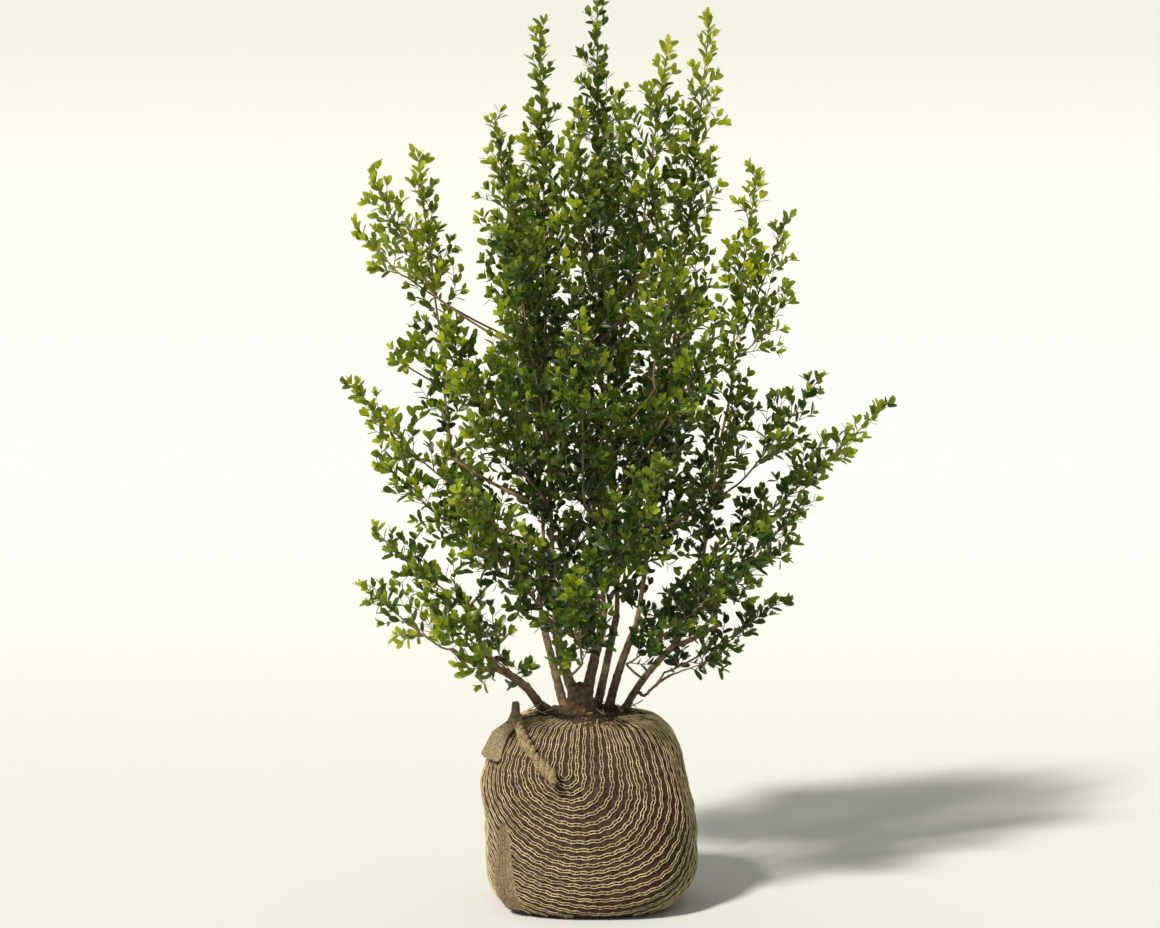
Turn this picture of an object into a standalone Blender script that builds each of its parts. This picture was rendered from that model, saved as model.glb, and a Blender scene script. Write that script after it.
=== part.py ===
"""A root-balled green hedge Japanese holly: a netted ball of soil, a short forked trunk,
stems and boughs that rise and spread from it, and upright plumes of small leaves.

Metres, +Z up, +X to the right and +Y to the back. The origin is the middle of the flat
underside that the ball stands on.
"""

import math

import bmesh
import bpy
import numpy as np
from mathutils.bvhtree import BVHTree

GAP = 0.0003  # between two pieces that touch

# Root ball: half widths to the left and right of the middle at each height
BALL_HEIGHTS = (0.0, 0.010, 0.030, 0.060, 0.110, 0.165, 0.200, 0.230, 0.244)
BALL_LEFT = (0.100, 0.116, 0.128, 0.131, 0.132, 0.138, 0.128, 0.108, 0.091)
BALL_RIGHT = (0.104, 0.124, 0.140, 0.147, 0.144, 0.133, 0.125, 0.112, 0.094)
BALL_DEPTH_SHARE = 0.97  # of the half width, front to back
BALL_SQUARENESS = 2.6  # exponent of the rounded plan, where 2 is a circle
BALL_SIDES = 32

# Soil inside the net's mouth, with a level middle that the trunk stands on
SOIL_RADII = (0.080, 0.083, 0.078, 0.060, 0.045)
SOIL_HEIGHTS = (0.2443, 0.247, 0.251, 0.253, 0.254)
SOIL_SIDES = 20

# Trunk: flat cut on the soil, root flare, neck, then the wide top that forks
TRUNK_FOOT = (-0.008, -0.008)
TRUNK_RISE = (0.0, 0.007, 0.015, 0.022, 0.028)
TRUNK_RADII = (0.0240, 0.0185, 0.0160, 0.0172, 0.0180)
TRUNK_LEAN = 0.001
TRUNK_LOBES = 5
TRUNK_LOBE_DEPTH = 0.14
TRUNK_SIDES = 15

# Stems that stand on the trunk's fork or come out of the soil: foot, bend, top, and the
# radii at foot and top. Each starts with a level cut
STEMS = {
    "stem_leader": ((0.001, -0.008, 0.2830), (0.011, -0.004, 0.324), (0.022, 0.000, 0.372), 0.0080, 0.0064),
    "stem_centre_left": ((-0.017, -0.008, 0.2830), (-0.031, -0.011, 0.320), (-0.040, -0.014, 0.368), 0.0076, 0.0060),
    "stem_right": ((0.030, 0.012, 0.2550), (0.044, 0.017, 0.306), (0.066, 0.024, 0.362), 0.0066, 0.0052),
    "stem_left": ((-0.060, 0.020, 0.2545), (-0.083, 0.013, 0.286), (-0.118, 0.006, 0.309), 0.0068, 0.0052),
    "stem_back_left": ((-0.030, 0.040, 0.2545), (-0.044, 0.060, 0.306), (-0.060, 0.080, 0.366), 0.0062, 0.0050),
    "stem_back_right": ((0.016, 0.046, 0.2545), (0.028, 0.070, 0.306), (0.042, 0.092, 0.370), 0.0062, 0.0050),
    "stem_low_right": ((0.050, -0.004, 0.2540), (0.080, -0.009, 0.303), (0.118, -0.013, 0.344), 0.0054, 0.0044),
}
STEM_STATIONS = 6
STEM_SIDES = 9

# Boughs and the low twig, each springing from the side or top of a stem, as above
BOUGHS = {
    "twig_low_right": ((0.076, -0.022, 0.276), (0.097, -0.030, 0.297), (0.114, -0.036, 0.308), 0.0022, 0.0016),
    "bough_left_up": ((-0.126, 0.007, 0.318), (-0.143, 0.004, 0.350), (-0.152, 0.002, 0.395), 0.0042, 0.0036),
    "bough_left_low": ((-0.129, 0.002, 0.307), (-0.155, -0.001, 0.320), (-0.178, -0.003, 0.336), 0.0038, 0.0032),
    "bough_right_up": ((0.123, -0.010, 0.356), (0.136, -0.006, 0.380), (0.146, -0.003, 0.410), 0.0038, 0.0032),
    "bough_right_low": ((0.129, -0.016, 0.346), (0.152, -0.019, 0.358), (0.176, -0.021, 0.372), 0.0036, 0.0030),
}
BOUGH_STATIONS = 5

# Plumes that carry on a limb to the top of the crown: the limb, the tip and the girth,
# which is the greatest radius
LEADERS = {
    "plume_leader": ("stem_leader", (0.014, 0.000, 1.195), 0.050),
    "plume_top_left": ("stem_centre_left", (-0.060, -0.030, 1.141), 0.050),
    "plume_top_right": ("stem_right", (0.162, 0.030, 1.162), 0.050),
    "plume_back_right_top": ("stem_back_right", (0.045, 0.115, 1.070), 0.056),
    "plume_back_left_top": ("stem_back_left", (-0.075, 0.125, 1.000), 0.058),
    "plume_far_left": ("bough_left_up", (-0.220, 0.030, 0.985), 0.046),
    "plume_far_right": ("bough_right_up", (0.222, 0.000, 0.961), 0.046),
}

# Plumes that spring from the side of others: the tip, the rise in degrees above level,
# the length and the girth
SPRAYS = {
    "plume_centre_right": ((0.104, -0.035, 1.115), 80, 0.46, 0.048),
    "plume_shoulder_left": ((-0.120, 0.020, 1.033), 80, 0.40, 0.048),
    "plume_front_top": ((-0.010, -0.105, 1.030), 80, 0.46, 0.052),
    "plume_left_outer": ((-0.277, -0.020, 0.959), 62, 0.22, 0.032),
    "plume_left_side": ((-0.298, 0.020, 0.887), 42, 0.15, 0.028),
    "plume_left_high": ((-0.254, 0.010, 0.749), 42, 0.20, 0.042),
    "plume_left_mid": ((-0.307, -0.015, 0.688), 45, 0.28, 0.044),
    "plume_left_low": ((-0.276, 0.025, 0.590), 40, 0.22, 0.044),
    "plume_left_lower": ((-0.274, -0.030, 0.495), 40, 0.22, 0.044),
    "plume_left_skirt": ((-0.292, 0.000, 0.418), 36, 0.20, 0.040),
    "plume_right_outer": ((0.261, 0.030, 0.896), 66, 0.22, 0.034),
    "plume_right_high": ((0.262, -0.020, 0.801), 48, 0.20, 0.042),
    "plume_right_upper": ((0.307, 0.020, 0.692), 50, 0.26, 0.042),
    "plume_right_long": ((0.394, 0.030, 0.656), 40, 0.34, 0.036),
    "plume_right_low": ((0.283, -0.070, 0.535), 42, 0.24, 0.042),
    "plume_right_lower": ((0.275, 0.045, 0.472), 30, 0.22, 0.036),
    "plume_right_skirt": ((0.256, 0.000, 0.400), 32, 0.18, 0.036),
    "plume_low_twig": ((0.166, -0.050, 0.330), 22, 0.045, 0.014),
}

# Rings of plumes on the front and back of the crown: the height and reach of the tips,
# the rise, the length, the girth and the directions in degrees from +X
RINGS = {
    "plume_high": (0.900, 0.170, 76, 0.34, 0.054, (232, 308, 68)),
    "plume_mid": (0.750, 0.245, 52, 0.30, 0.056, (224, 268, 314, 58, 118)),
    "plume_low": (0.570, 0.270, 42, 0.28, 0.052, (236, 292, 38, 88, 140)),
    "plume_skirt": (0.440, 0.250, 36, 0.21, 0.044, (222, 266, 316, 98)),
}
RING_UNEVEN = 0.08  # how much tips in one ring differ in reach and height

PLUME_STATIONS = 10
PLUME_SIDES = 9
PLUME_CLEARANCE = 0.007  # between neighbouring plumes
LIMB_CLEARANCE = 0.002  # between a plume and a limb
FOOT_CLEARANCE = 0.005  # between a plume's foot and the limb that carries it
PLUME_SAG = 0.05  # how far an axis bows outwards, as a share of its length
PLUME_TIP_RADIUS = 0.0030
PLUME_LEAST_RADIUS = 0.0022
PLUME_LUMPS = 0.13  # depth of the uneven surface, as a share of the radius
LINE_POINTS = 40  # along an axis, where the room round it is worked out
SHARING_ROUNDS = 3
RAY_STEPS = 28  # trial radii along each ray
SKIN_MARGIN = 0.0015  # by which surfaces are grown when crossings are looked for
SHRINK = 0.88  # of the radius, where two surfaces cross
SHRINK_ROUNDS = 40

# Net wrap: path of the rolled twist as angle round the ball and height, then the pads of
# the peaked flap and the gathered fold as middle angle, half width in degrees, greatest
# thickness, lowest and highest ring of the ball, and how far the top stands above that
TWIST_PATH = ((214, 0.246), (226, 0.232), (241, 0.202), (256, 0.176))
TWIST_RADIUS = 0.0075
PADS = {
    "wrap_flap": (196, 20, 0.014, 0.200, 0.244, 0.026),
    "wrap_fold": (222, 9, 0.007, 0.010, 0.110, 0.014),
}
PAD_SIDES = 8

BARK = (0.23, 0.17, 0.11)
SOIL = (0.11, 0.075, 0.05)
NET = (0.33, 0.27, 0.16)
LEAF = (0.09, 0.16, 0.03)


def clear_scene():
    for old in list(bpy.data.objects):
        bpy.data.objects.remove(old)


def material(name, colour, roughness):
    """A Principled BSDF with one colour, not metallic."""
    made = bpy.data.materials.new(name)
    made.use_nodes = True
    shader = made.node_tree.nodes["Principled BSDF"]
    shader.inputs["Base Color"].default_value = (*colour, 1.0)
    shader.inputs["Roughness"].default_value = roughness
    shader.inputs["Metallic"].default_value = 0.0
    return made


def placed(name, data, finish):
    data.materials.append(finish)
    made = bpy.data.objects.new(name, data)
    bpy.context.scene.collection.objects.link(made)
    return made


def lofted(name, rings, finish):
    """A closed body through rings of points: the first ring is a face, and each next
    ring is that face extruded with its corners moved onto the ring."""
    shape = bmesh.new()
    foot = face = shape.faces.new([shape.verts.new(point) for point in rings[0]])
    for ring in rings[1:]:
        grown = bmesh.ops.extrude_face_region(shape, geom=[face])["geom"]
        if face is not foot:
            shape.faces.remove(face)
        face = next(item for item in grown if isinstance(item, bmesh.types.BMFace))
        for corner, point in zip(face.verts, ring):
            corner.co = point
    bmesh.ops.recalc_face_normals(shape, faces=shape.faces)
    mesh = bpy.data.meshes.new(name)
    shape.to_mesh(mesh)
    shape.free()
    mesh.shade_smooth()
    return placed(name, mesh, finish)


def tube(name, points, radii, finish):
    """A round rod along the points with its own radius at each and filled ends."""
    line = bpy.data.curves.new(name, "CURVE")
    line.dimensions = "3D"
    line.bevel_depth = 1.0
    line.bevel_resolution = 2
    line.use_fill_caps = True
    spline = line.splines.new("POLY")
    spline.points.add(len(points) - 1)
    for place, point, radius in zip(spline.points, points, radii):
        place.co = (*point, 1.0)
        place.radius = radius
    return placed(name, line, finish)


def bowed(foot, bend, top, count):
    """Points on the parabola that leaves the foot and reaches the top by the bend."""
    share = np.linspace(0, 1, count)[:, None]
    foot, bend, top = (np.array(point, float) for point in (foot, bend, top))
    pull = 2 * bend - (foot + top) / 2
    return (1 - share) ** 2 * foot + 2 * share * (1 - share) * pull + share**2 * top


def resampled(points, count):
    """As many points as count, evenly along the same line."""
    steps = np.linalg.norm(np.diff(points, axis=0), axis=1)
    along = np.concatenate([[0.0], np.cumsum(steps)])
    places = np.linspace(0, along[-1], count)
    return np.stack([np.interp(places, along, points[:, i]) for i in range(3)], 1)


def frames(points):
    """Two unit directions across a line of points, carried along it without twisting."""
    along = np.gradient(points, axis=0)
    along /= np.linalg.norm(along, axis=1)[:, None]
    aside = (0.0, 1.0, 0.0) if abs(along[0][1]) < 0.8 else (1.0, 0.0, 0.0)
    first = np.cross(aside, along[0])
    side = [first / np.linalg.norm(first)]
    for direction in along[1:]:
        turned = side[-1] - direction * np.dot(side[-1], direction)
        side.append(turned / np.linalg.norm(turned))
    side = np.array(side)
    return side, np.cross(along, side)


def rings_round(points, radii, level_foot=False):
    """Rings across a line of points; radii has a row for each point and a column for each
    side. With level_foot the first ring is a level cut."""
    across, over = frames(points)
    turn = np.arange(radii.shape[1]) * 2 * math.pi / radii.shape[1]
    if level_foot:
        across[0] /= np.linalg.norm(across[0][:2])
        across[0][2] = 0.0
        over[0] = np.cross((0.0, 0.0, 1.0), across[0])
    spread = across[:, None] * np.cos(turn)[None, :, None] + over[:, None] * np.sin(turn)[None, :, None]
    return points[:, None] + spread * radii[:, :, None]


def ball_reach(angle, height):
    """Reach of the ball from its middle at an angle round it and a height: left and right
    profiles blended by the angle, on a rounded-square plan."""
    left = np.interp(height, BALL_HEIGHTS, BALL_LEFT)
    right = np.interp(height, BALL_HEIGHTS, BALL_RIGHT)
    cos, sin = np.cos(angle), np.sin(angle)
    reach = (left + right) / 2 + (right - left) / 2 * cos
    plan = np.abs(cos) ** BALL_SQUARENESS + np.abs(sin / BALL_DEPTH_SHARE) ** BALL_SQUARENESS
    return reach * plan ** (-1 / BALL_SQUARENESS)


def level_ring(turn, reach, height, middle=(0.0, 0.0)):
    """Points at one height round a middle."""
    x, y = middle[0] + reach * np.cos(turn), middle[1] + reach * np.sin(turn)
    return np.stack([x, y, np.full(len(turn), height)], 1)


def make_ball(finish):
    turn = np.arange(BALL_SIDES) * 2 * math.pi / BALL_SIDES
    rings = [level_ring(turn, ball_reach(turn, height), height) for height in BALL_HEIGHTS]
    lofted("root_ball", rings, finish)


def make_soil(finish):
    turn = np.arange(SOIL_SIDES) * 2 * math.pi / SOIL_SIDES
    rings = [level_ring(turn, radius, height) for radius, height in zip(SOIL_RADII, SOIL_HEIGHTS)]
    lofted("soil_top", rings, finish)


def make_trunk(finish):
    """Root flare in lobes that fade with height, a neck, and the wide top of the fork."""
    turn = np.arange(TRUNK_SIDES) * 2 * math.pi / TRUNK_SIDES
    rings = []
    for rise, radius in zip(TRUNK_RISE, TRUNK_RADII):
        share = rise / TRUNK_RISE[-1]
        reach = radius * (1 + TRUNK_LOBE_DEPTH * (1 - share) * np.cos(TRUNK_LOBES * turn))
        middle = (TRUNK_FOOT[0] + TRUNK_LEAN * share, TRUNK_FOOT[1])
        rings.append(level_ring(turn, reach, SOIL_HEIGHTS[-1] + GAP + rise, middle))
    lofted("trunk_base", rings, finish)


def make_limbs(finish):
    """All stems and boughs. Returns the axis and the radii of each."""
    lines = {}
    for name, (foot, bend, top, wide, narrow) in STEMS.items():
        points = bowed(foot, bend, top, STEM_STATIONS)
        radii = np.linspace(wide, narrow, STEM_STATIONS)
        lofted(name, rings_round(points, np.tile(radii[:, None], (1, STEM_SIDES)), level_foot=True), finish)
        lines[name] = points, radii
    for name, (foot, bend, top, wide, narrow) in BOUGHS.items():
        points = bowed(foot, bend, top, BOUGH_STATIONS)
        radii = np.linspace(wide, narrow, BOUGH_STATIONS)
        tube(name, points, radii, finish)
        lines[name] = points, radii
    return lines


def plume_axis(foot, tip):
    """Points from the foot to the tip, bowed a little outwards and down."""
    chord = tip - foot
    outwards = np.array([chord[0], chord[1], 0.0])
    outwards -= chord * np.dot(outwards, chord) / np.dot(chord, chord)
    return bowed(foot, (foot + tip) / 2 + outwards * PLUME_SAG, tip, LINE_POINTS)


def leader_axis(limb, tip):
    """The axis of a plume that carries on from a limb's top."""
    points, _ = limb
    last = points[-1] - points[-2]
    return plume_axis(points[-1] + last / np.linalg.norm(last) * FOOT_CLEARANCE, np.array(tip))


def spray_axis(tip, rise, length):
    """The axis of a plume that comes out of the crown's middle, at a rise above level."""
    tip = np.array(tip)
    outwards = tip[:2] / np.linalg.norm(tip[:2])
    level, up = length * math.cos(math.radians(rise)), length * math.sin(math.radians(rise))
    return plume_axis(tip - np.array([*(outwards * level), up]), tip)


def plume_lines(limbs):
    """The axis and girth of every plume, leaders first."""
    lines = {name: (leader_axis(limbs[limb], tip), girth) for name, (limb, tip, girth) in LEADERS.items()}
    for name, (tip, rise, length, girth) in SPRAYS.items():
        lines[name] = spray_axis(tip, rise, length), girth
    for ring, (height, reach, rise, length, girth, directions) in RINGS.items():
        for count, degrees in enumerate(directions, 1):
            uneven = RING_UNEVEN * math.sin(2.4 * count + degrees)
            turn = math.radians(degrees)
            out = reach * (1 - uneven)
            tip = (out * math.cos(turn), out * math.sin(turn), height * (1 + uneven / 2))
            lines[f"{ring}_{count}"] = spray_axis(tip, rise, length), girth
    return lines


def flame(girth, count):
    """Radii from foot to tip: quickly full, then a long taper to a point."""
    share = np.linspace(0, 1, count)
    profile = np.sin(math.pi * share**0.75) ** 0.8
    return np.maximum(girth * profile, PLUME_TIP_RADIUS)


def depth_outside(places, line):
    """How far each place lies outside a line of balls: least distance less radius."""
    points, radii = line
    return (np.linalg.norm(places[..., None, :] - points, axis=-1) - radii).min(-1)


def dense(line):
    """A limb's line with points as close as its radius, to measure distances from."""
    points, radii = line
    count = int(np.linalg.norm(points[-1] - points[0]) / radii[-1]) + 2
    return resampled(points, count), np.linspace(radii[0], radii[-1], count)


def share_out(lines, limbs):
    """Shortens each plume's axis at its foot until it starts clear of the limbs and of
    every other plume's own space."""
    for _ in range(SHARING_ROUNDS):
        for name, (points, girth) in lines.items():
            radii = flame(girth, LINE_POINTS)
            free = np.ones(LINE_POINTS, bool)
            for other, (places, width) in lines.items():
                if other != name:
                    rival = places, flame(width, LINE_POINTS)
                    free &= depth_outside(points, rival) > PLUME_CLEARANCE - radii
            for limb in limbs:
                free &= depth_outside(points, limb) > LIMB_CLEARANCE + PLUME_LEAST_RADIUS
            taken = np.flatnonzero(~free[:-2])
            if len(taken):
                lines[name] = resampled(points[taken[-1] + 1 :], LINE_POINTS), girth


def lumps(order, share, turn):
    """Uneven surface: waves round and along the plume, offset by its order."""
    phase = 1.7 * order
    wave = np.sin(3 * turn + 7 * share + phase) + 0.7 * np.sin(5 * turn - 11 * share + 2 * phase)
    return 1 + PLUME_LUMPS * (wave + 0.5 * np.sin(2 * turn + 17 * share + 3 * phase)) / 2.2


def skin(axis, radii):
    """A search tree of the surface round an axis, grown by the margin. Face i * sides + j
    lies between rings i and i + 1, and the two ends come last."""
    count, sides = radii.shape
    corners = rings_round(axis, radii + SKIN_MARGIN).reshape(-1, 3)
    faces = []
    for ring in range(count - 1):
        for side in range(sides):
            low, high = ring * sides, (ring + 1) * sides
            after = (side + 1) % sides
            faces.append((low + side, low + after, high + after, high + side))
    faces.append(tuple(range(sides)))
    faces.append(tuple(range((count - 1) * sides, count * sides)))
    return BVHTree.FromPolygons(corners.tolist(), faces)


def shrink(radii, faces):
    """Pulls in the corners of the faces where a plume's surface crosses another's."""
    count, sides = radii.shape
    marked = np.zeros(radii.shape, bool)
    for face in faces:
        ring, side = divmod(face, sides)
        if ring < count - 1:
            marked[ring : ring + 2, [side, (side + 1) % sides]] = True
        else:
            marked[0 if side == 0 else -1] = True
    radii[marked] = np.maximum(radii[marked] * SHRINK, PLUME_LEAST_RADIUS)


def part_flames(flames, limbs):
    """Shrinks plumes where their surfaces still cross, until none does."""
    rods = [skin(points, np.tile(radii[:, None], (1, PLUME_SIDES))) for points, radii in limbs]
    names = list(flames)
    for _ in range(SHRINK_ROUNDS):
        skins = {name: skin(*flames[name]) for name in names}
        crossed = {name: set() for name in names}
        for first, name in enumerate(names):
            for rod in rods:
                crossed[name] |= {pair[0] for pair in skins[name].overlap(rod)}
            for other in names[first + 1 :]:
                for mine, theirs in skins[name].overlap(skins[other]):
                    crossed[name].add(mine)
                    crossed[other].add(theirs)
        for name, faces in crossed.items():
            shrink(flames[name][1], faces)
        if not any(crossed.values()):
            break


def make_plumes(lines, limbs, finish):
    """Each plume keeps to the space that is deeper inside its own flame than inside any
    other, less the clearance, and stays clear of every limb."""
    limbs = [dense(line) for line in limbs.values()]
    share_out(lines, limbs)
    spaces = {name: (points, flame(girth, LINE_POINTS)) for name, (points, girth) in lines.items()}
    turn = np.arange(PLUME_SIDES) * 2 * math.pi / PLUME_SIDES
    share = np.linspace(0, 1, PLUME_STATIONS)
    trial = np.linspace(0, 1, RAY_STEPS)
    flames = {}
    for order, (name, (points, girth)) in enumerate(lines.items()):
        axis = resampled(points, PLUME_STATIONS)
        full = flame(girth, PLUME_STATIONS)[:, None] * lumps(order, share[:, None], turn[None, :])
        unit = rings_round(axis, np.ones((PLUME_STATIONS, PLUME_SIDES))) - axis[:, None]
        places = axis[:, None, None] + unit[:, :, None] * (full[:, :, None] * trial)[..., None]
        mine = depth_outside(places, spaces[name])
        free = np.ones(places.shape[:3], bool)
        for other, space in spaces.items():
            if other != name:
                free &= depth_outside(places, space) > mine + PLUME_CLEARANCE
        for limb in limbs:
            free &= depth_outside(places, limb) > LIMB_CLEARANCE
        reached = np.cumprod(free, axis=2).sum(2) - 1
        radii = full * trial[np.clip(reached, 0, RAY_STEPS - 1)]
        flames[name] = axis, np.maximum(radii, PLUME_LEAST_RADIUS)
    part_flames(flames, limbs)
    for name, (axis, radii) in flames.items():
        lofted(name, rings_round(axis, radii), finish)


def make_twist(finish):
    """The rolled edge of the net, laid on the ball just clear of it."""
    points = []
    for angle, height in TWIST_PATH:
        turn = math.radians(angle)
        reach = ball_reach(turn, min(height, BALL_HEIGHTS[-1])) + TWIST_RADIUS * 1.5
        points.append((reach * math.cos(turn), reach * math.sin(turn), height + TWIST_RADIUS))
    middle = (np.array(points[1]) + np.array(points[2])) / 2
    route = bowed(points[0], middle, points[-1], 9)
    tube("wrap_twist", route, np.linspace(0.75, 1.2, 9) * TWIST_RADIUS, finish)


def make_pad(name, finish):
    """A fold of net against the ball: on each ring its inner side keeps just off the
    ball, and its outer side swells in the middle of its height."""
    middle, half, thick, low, high, above = PADS[name]
    heights = [height for height in BALL_HEIGHTS if low <= height <= high]
    peak = heights[-1] + above
    rings = []
    for height in heights + [heights[-1] + above * 0.5, peak]:
        rise = (height - low) / (peak - low)
        swell = 0.3 + 0.7 * math.sin(math.pi * min(rise + 0.15, 1.0))
        spread = math.radians(half) * (1.0 - 0.8 * rise**2)
        turn = math.radians(middle) + np.linspace(-1, 1, PAD_SIDES // 2) * spread
        inner = ball_reach(turn, min(height, BALL_HEIGHTS[-1])) + 0.0015
        bulge = thick * swell * np.sin(np.linspace(0.25, 0.75, PAD_SIDES // 2) * math.pi)
        reach = np.concatenate([inner, (inner + bulge)[::-1]])
        rings.append(level_ring(np.concatenate([turn, turn[::-1]]), reach, height))
    lofted(name, rings, finish)


def main():
    clear_scene()
    bark, soil = material("bark", BARK, 0.85), material("soil", SOIL, 0.95)
    net, leaf = material("net", NET, 0.8), material("leaf", LEAF, 0.45)
    make_ball(net)
    make_soil(soil)
    make_twist(net)
    for name in PADS:
        make_pad(name, net)
    make_trunk(bark)
    limbs = make_limbs(bark)
    make_plumes(plume_lines(limbs), limbs, leaf)


main()
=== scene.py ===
import math

import bpy
import numpy as np
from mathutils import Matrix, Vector
from mathutils.bvhtree import BVHTree


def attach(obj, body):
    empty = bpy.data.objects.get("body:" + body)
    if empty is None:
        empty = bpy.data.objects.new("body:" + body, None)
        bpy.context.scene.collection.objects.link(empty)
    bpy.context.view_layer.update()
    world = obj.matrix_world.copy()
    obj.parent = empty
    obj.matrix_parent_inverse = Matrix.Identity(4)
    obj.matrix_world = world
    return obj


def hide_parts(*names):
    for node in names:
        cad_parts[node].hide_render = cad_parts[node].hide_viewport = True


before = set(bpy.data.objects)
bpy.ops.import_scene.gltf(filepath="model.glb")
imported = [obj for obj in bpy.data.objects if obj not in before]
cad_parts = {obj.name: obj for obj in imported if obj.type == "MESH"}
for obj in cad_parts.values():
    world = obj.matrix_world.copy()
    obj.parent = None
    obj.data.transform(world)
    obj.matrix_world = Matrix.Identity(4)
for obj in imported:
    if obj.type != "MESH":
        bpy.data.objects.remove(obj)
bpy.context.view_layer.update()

rng = np.random.default_rng(7)
plumeNames = sorted(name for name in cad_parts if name.startswith("plume"))
limbNames = sorted(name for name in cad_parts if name.startswith(("stem", "bough", "twig")))
hub = np.array([0.0, 0.0, 0.30])  # where the stems part; every limb and plume grows away from it
fullTurn = 2 * math.pi
anyTurn = (0.0, 6.28)  # range of a random turn
goldenTurn = 2.39996  # from one side shoot or leaf to the next
up = np.array([0.0, 0.0, 1.0])
print("plumes", len(plumeNames), "limbs", len(limbNames))


# Lengths of vectors: the root of the sum of squares, kept as a last axis of one
def size(vectors):
    return np.linalg.norm(vectors, axis=-1, keepdims=True)


# Vectors divided by their lengths
def unit(vectors):
    return vectors / np.maximum(size(vectors), 1e-9)


waveLook = {
    "count": 7,
    "pace": (0.7, 1.4),  # of each wave, beside the one asked for
    "gain": 1.6,  # brings the mean of the waves up to about 1
}


# Smooth unevenness: the mean of sine waves that run in random directions, times the gain
def waves(points, wavelength, seed):
    draw = np.random.default_rng(seed)
    count = waveLook["count"]
    ways = unit(draw.normal(size=(count, 3))) * fullTurn / wavelength
    pace = draw.uniform(*waveLook["pace"], count)
    start = draw.uniform(*anyTurn, count)
    return np.sin(points @ ways.T * pace + start).mean(-1) * waveLook["gain"]


# A shade of a colour with alpha: each part times a factor, at most 1
def shade(colour, factor):
    return (*(min(part * factor, 1.0) for part in colour), 1.0)


finishLook = {
    "noiseDetail": 6.0,
    "darkEnd": 0.32,  # noise values at which the darkest and lightest shades are reached
    "lightEnd": 0.68,
    "throughGain": 1.6,  # colour of light that comes through a leaf, beside the leaf's own
}


# A Principled material. light is the share of light let through the leaf, mottle the depth of
# a noise in the colour, and grain its size in metres
def finish(name, colour, roughness, light=0.0, mottle=0.0, grain=0.01, specular=0.5):
    made = bpy.data.materials.new(name)
    made.use_nodes = True
    nodes, links = made.node_tree.nodes, made.node_tree.links
    shader = nodes["Principled BSDF"]
    shader.inputs["Base Color"].default_value = shade(colour, 1.0)
    shader.inputs["Roughness"].default_value = roughness
    shader.inputs["Specular IOR Level"].default_value = specular
    if mottle:
        place = nodes.new("ShaderNodeTexCoord")
        noise = nodes.new("ShaderNodeTexNoise")
        noise.inputs["Scale"].default_value = 1.0 / grain
        noise.inputs["Detail"].default_value = finishLook["noiseDetail"]
        ramp = nodes.new("ShaderNodeValToRGB")
        dark, pale = ramp.color_ramp.elements
        dark.position, dark.color = finishLook["darkEnd"], shade(colour, 1 - mottle)
        pale.position, pale.color = finishLook["lightEnd"], shade(colour, 1 + mottle)
        links.new(place.outputs["Object"], noise.inputs["Vector"])
        links.new(noise.outputs["Fac"], ramp.inputs["Fac"])
        links.new(ramp.outputs["Color"], shader.inputs["Base Color"])
    if light:
        through = nodes.new("ShaderNodeBsdfTranslucent")
        through.inputs["Color"].default_value = shade(colour, finishLook["throughGain"])
        mix = nodes.new("ShaderNodeMixShader")
        mix.inputs[0].default_value = light
        links.new(shader.outputs[0], mix.inputs[1])
        links.new(through.outputs[0], mix.inputs[2])
        links.new(mix.outputs[0], nodes["Material Output"].inputs["Surface"])
    return made


# One piece from an array of points and an array of faces that all have as many corners
def addPiece(name, points, faces, material, slot, replaced=()):
    mesh = bpy.data.meshes.new(name)
    corners = faces.shape[1]
    mesh.vertices.add(len(points))
    mesh.vertices.foreach_set("co", np.ascontiguousarray(points, np.float32).ravel())
    mesh.loops.add(faces.size)
    mesh.loops.foreach_set("vertex_index", np.ascontiguousarray(faces, np.int32).ravel())
    mesh.polygons.add(len(faces))
    mesh.polygons.foreach_set("loop_start", np.arange(0, faces.size, corners, dtype=np.int32))
    mesh.update(calc_edges=True)
    mesh.validate()
    mesh.shade_smooth()
    mesh.materials.append(material)
    piece = bpy.data.objects.new(name, mesh)
    bpy.context.scene.collection.objects.link(piece)
    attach(piece, "root")
    if replaced:
        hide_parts(*replaced)
    print(name, len(faces) * (corners - 2), "triangles")


# Quads of a grid of rows by columns; ring joins the last column to the first
def gridFaces(rows, columns, ring=True):
    across = columns if ring else columns - 1
    row, column = np.meshgrid(np.arange(rows - 1), np.arange(across), indexing="ij")
    near, far = row * columns, (row + 1) * columns
    after = (column + 1) % columns
    quads = [near + column, near + after, far + after, far + column]
    return np.stack(quads, -1).reshape(-1, 4)


# Several meshes as one: points joined, and faces moved on by the points before them
def joined(parts):
    starts = np.cumsum([0] + [len(points) for points, _ in parts[:-1]])
    faces = [faces + start for (_, faces), start in zip(parts, starts)]
    return np.concatenate([points for points, _ in parts]), np.concatenate(faces)


# Evenly spaced turns of one full circle
def turnsOf(count):
    return np.arange(count) * fullTurn / count


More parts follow.
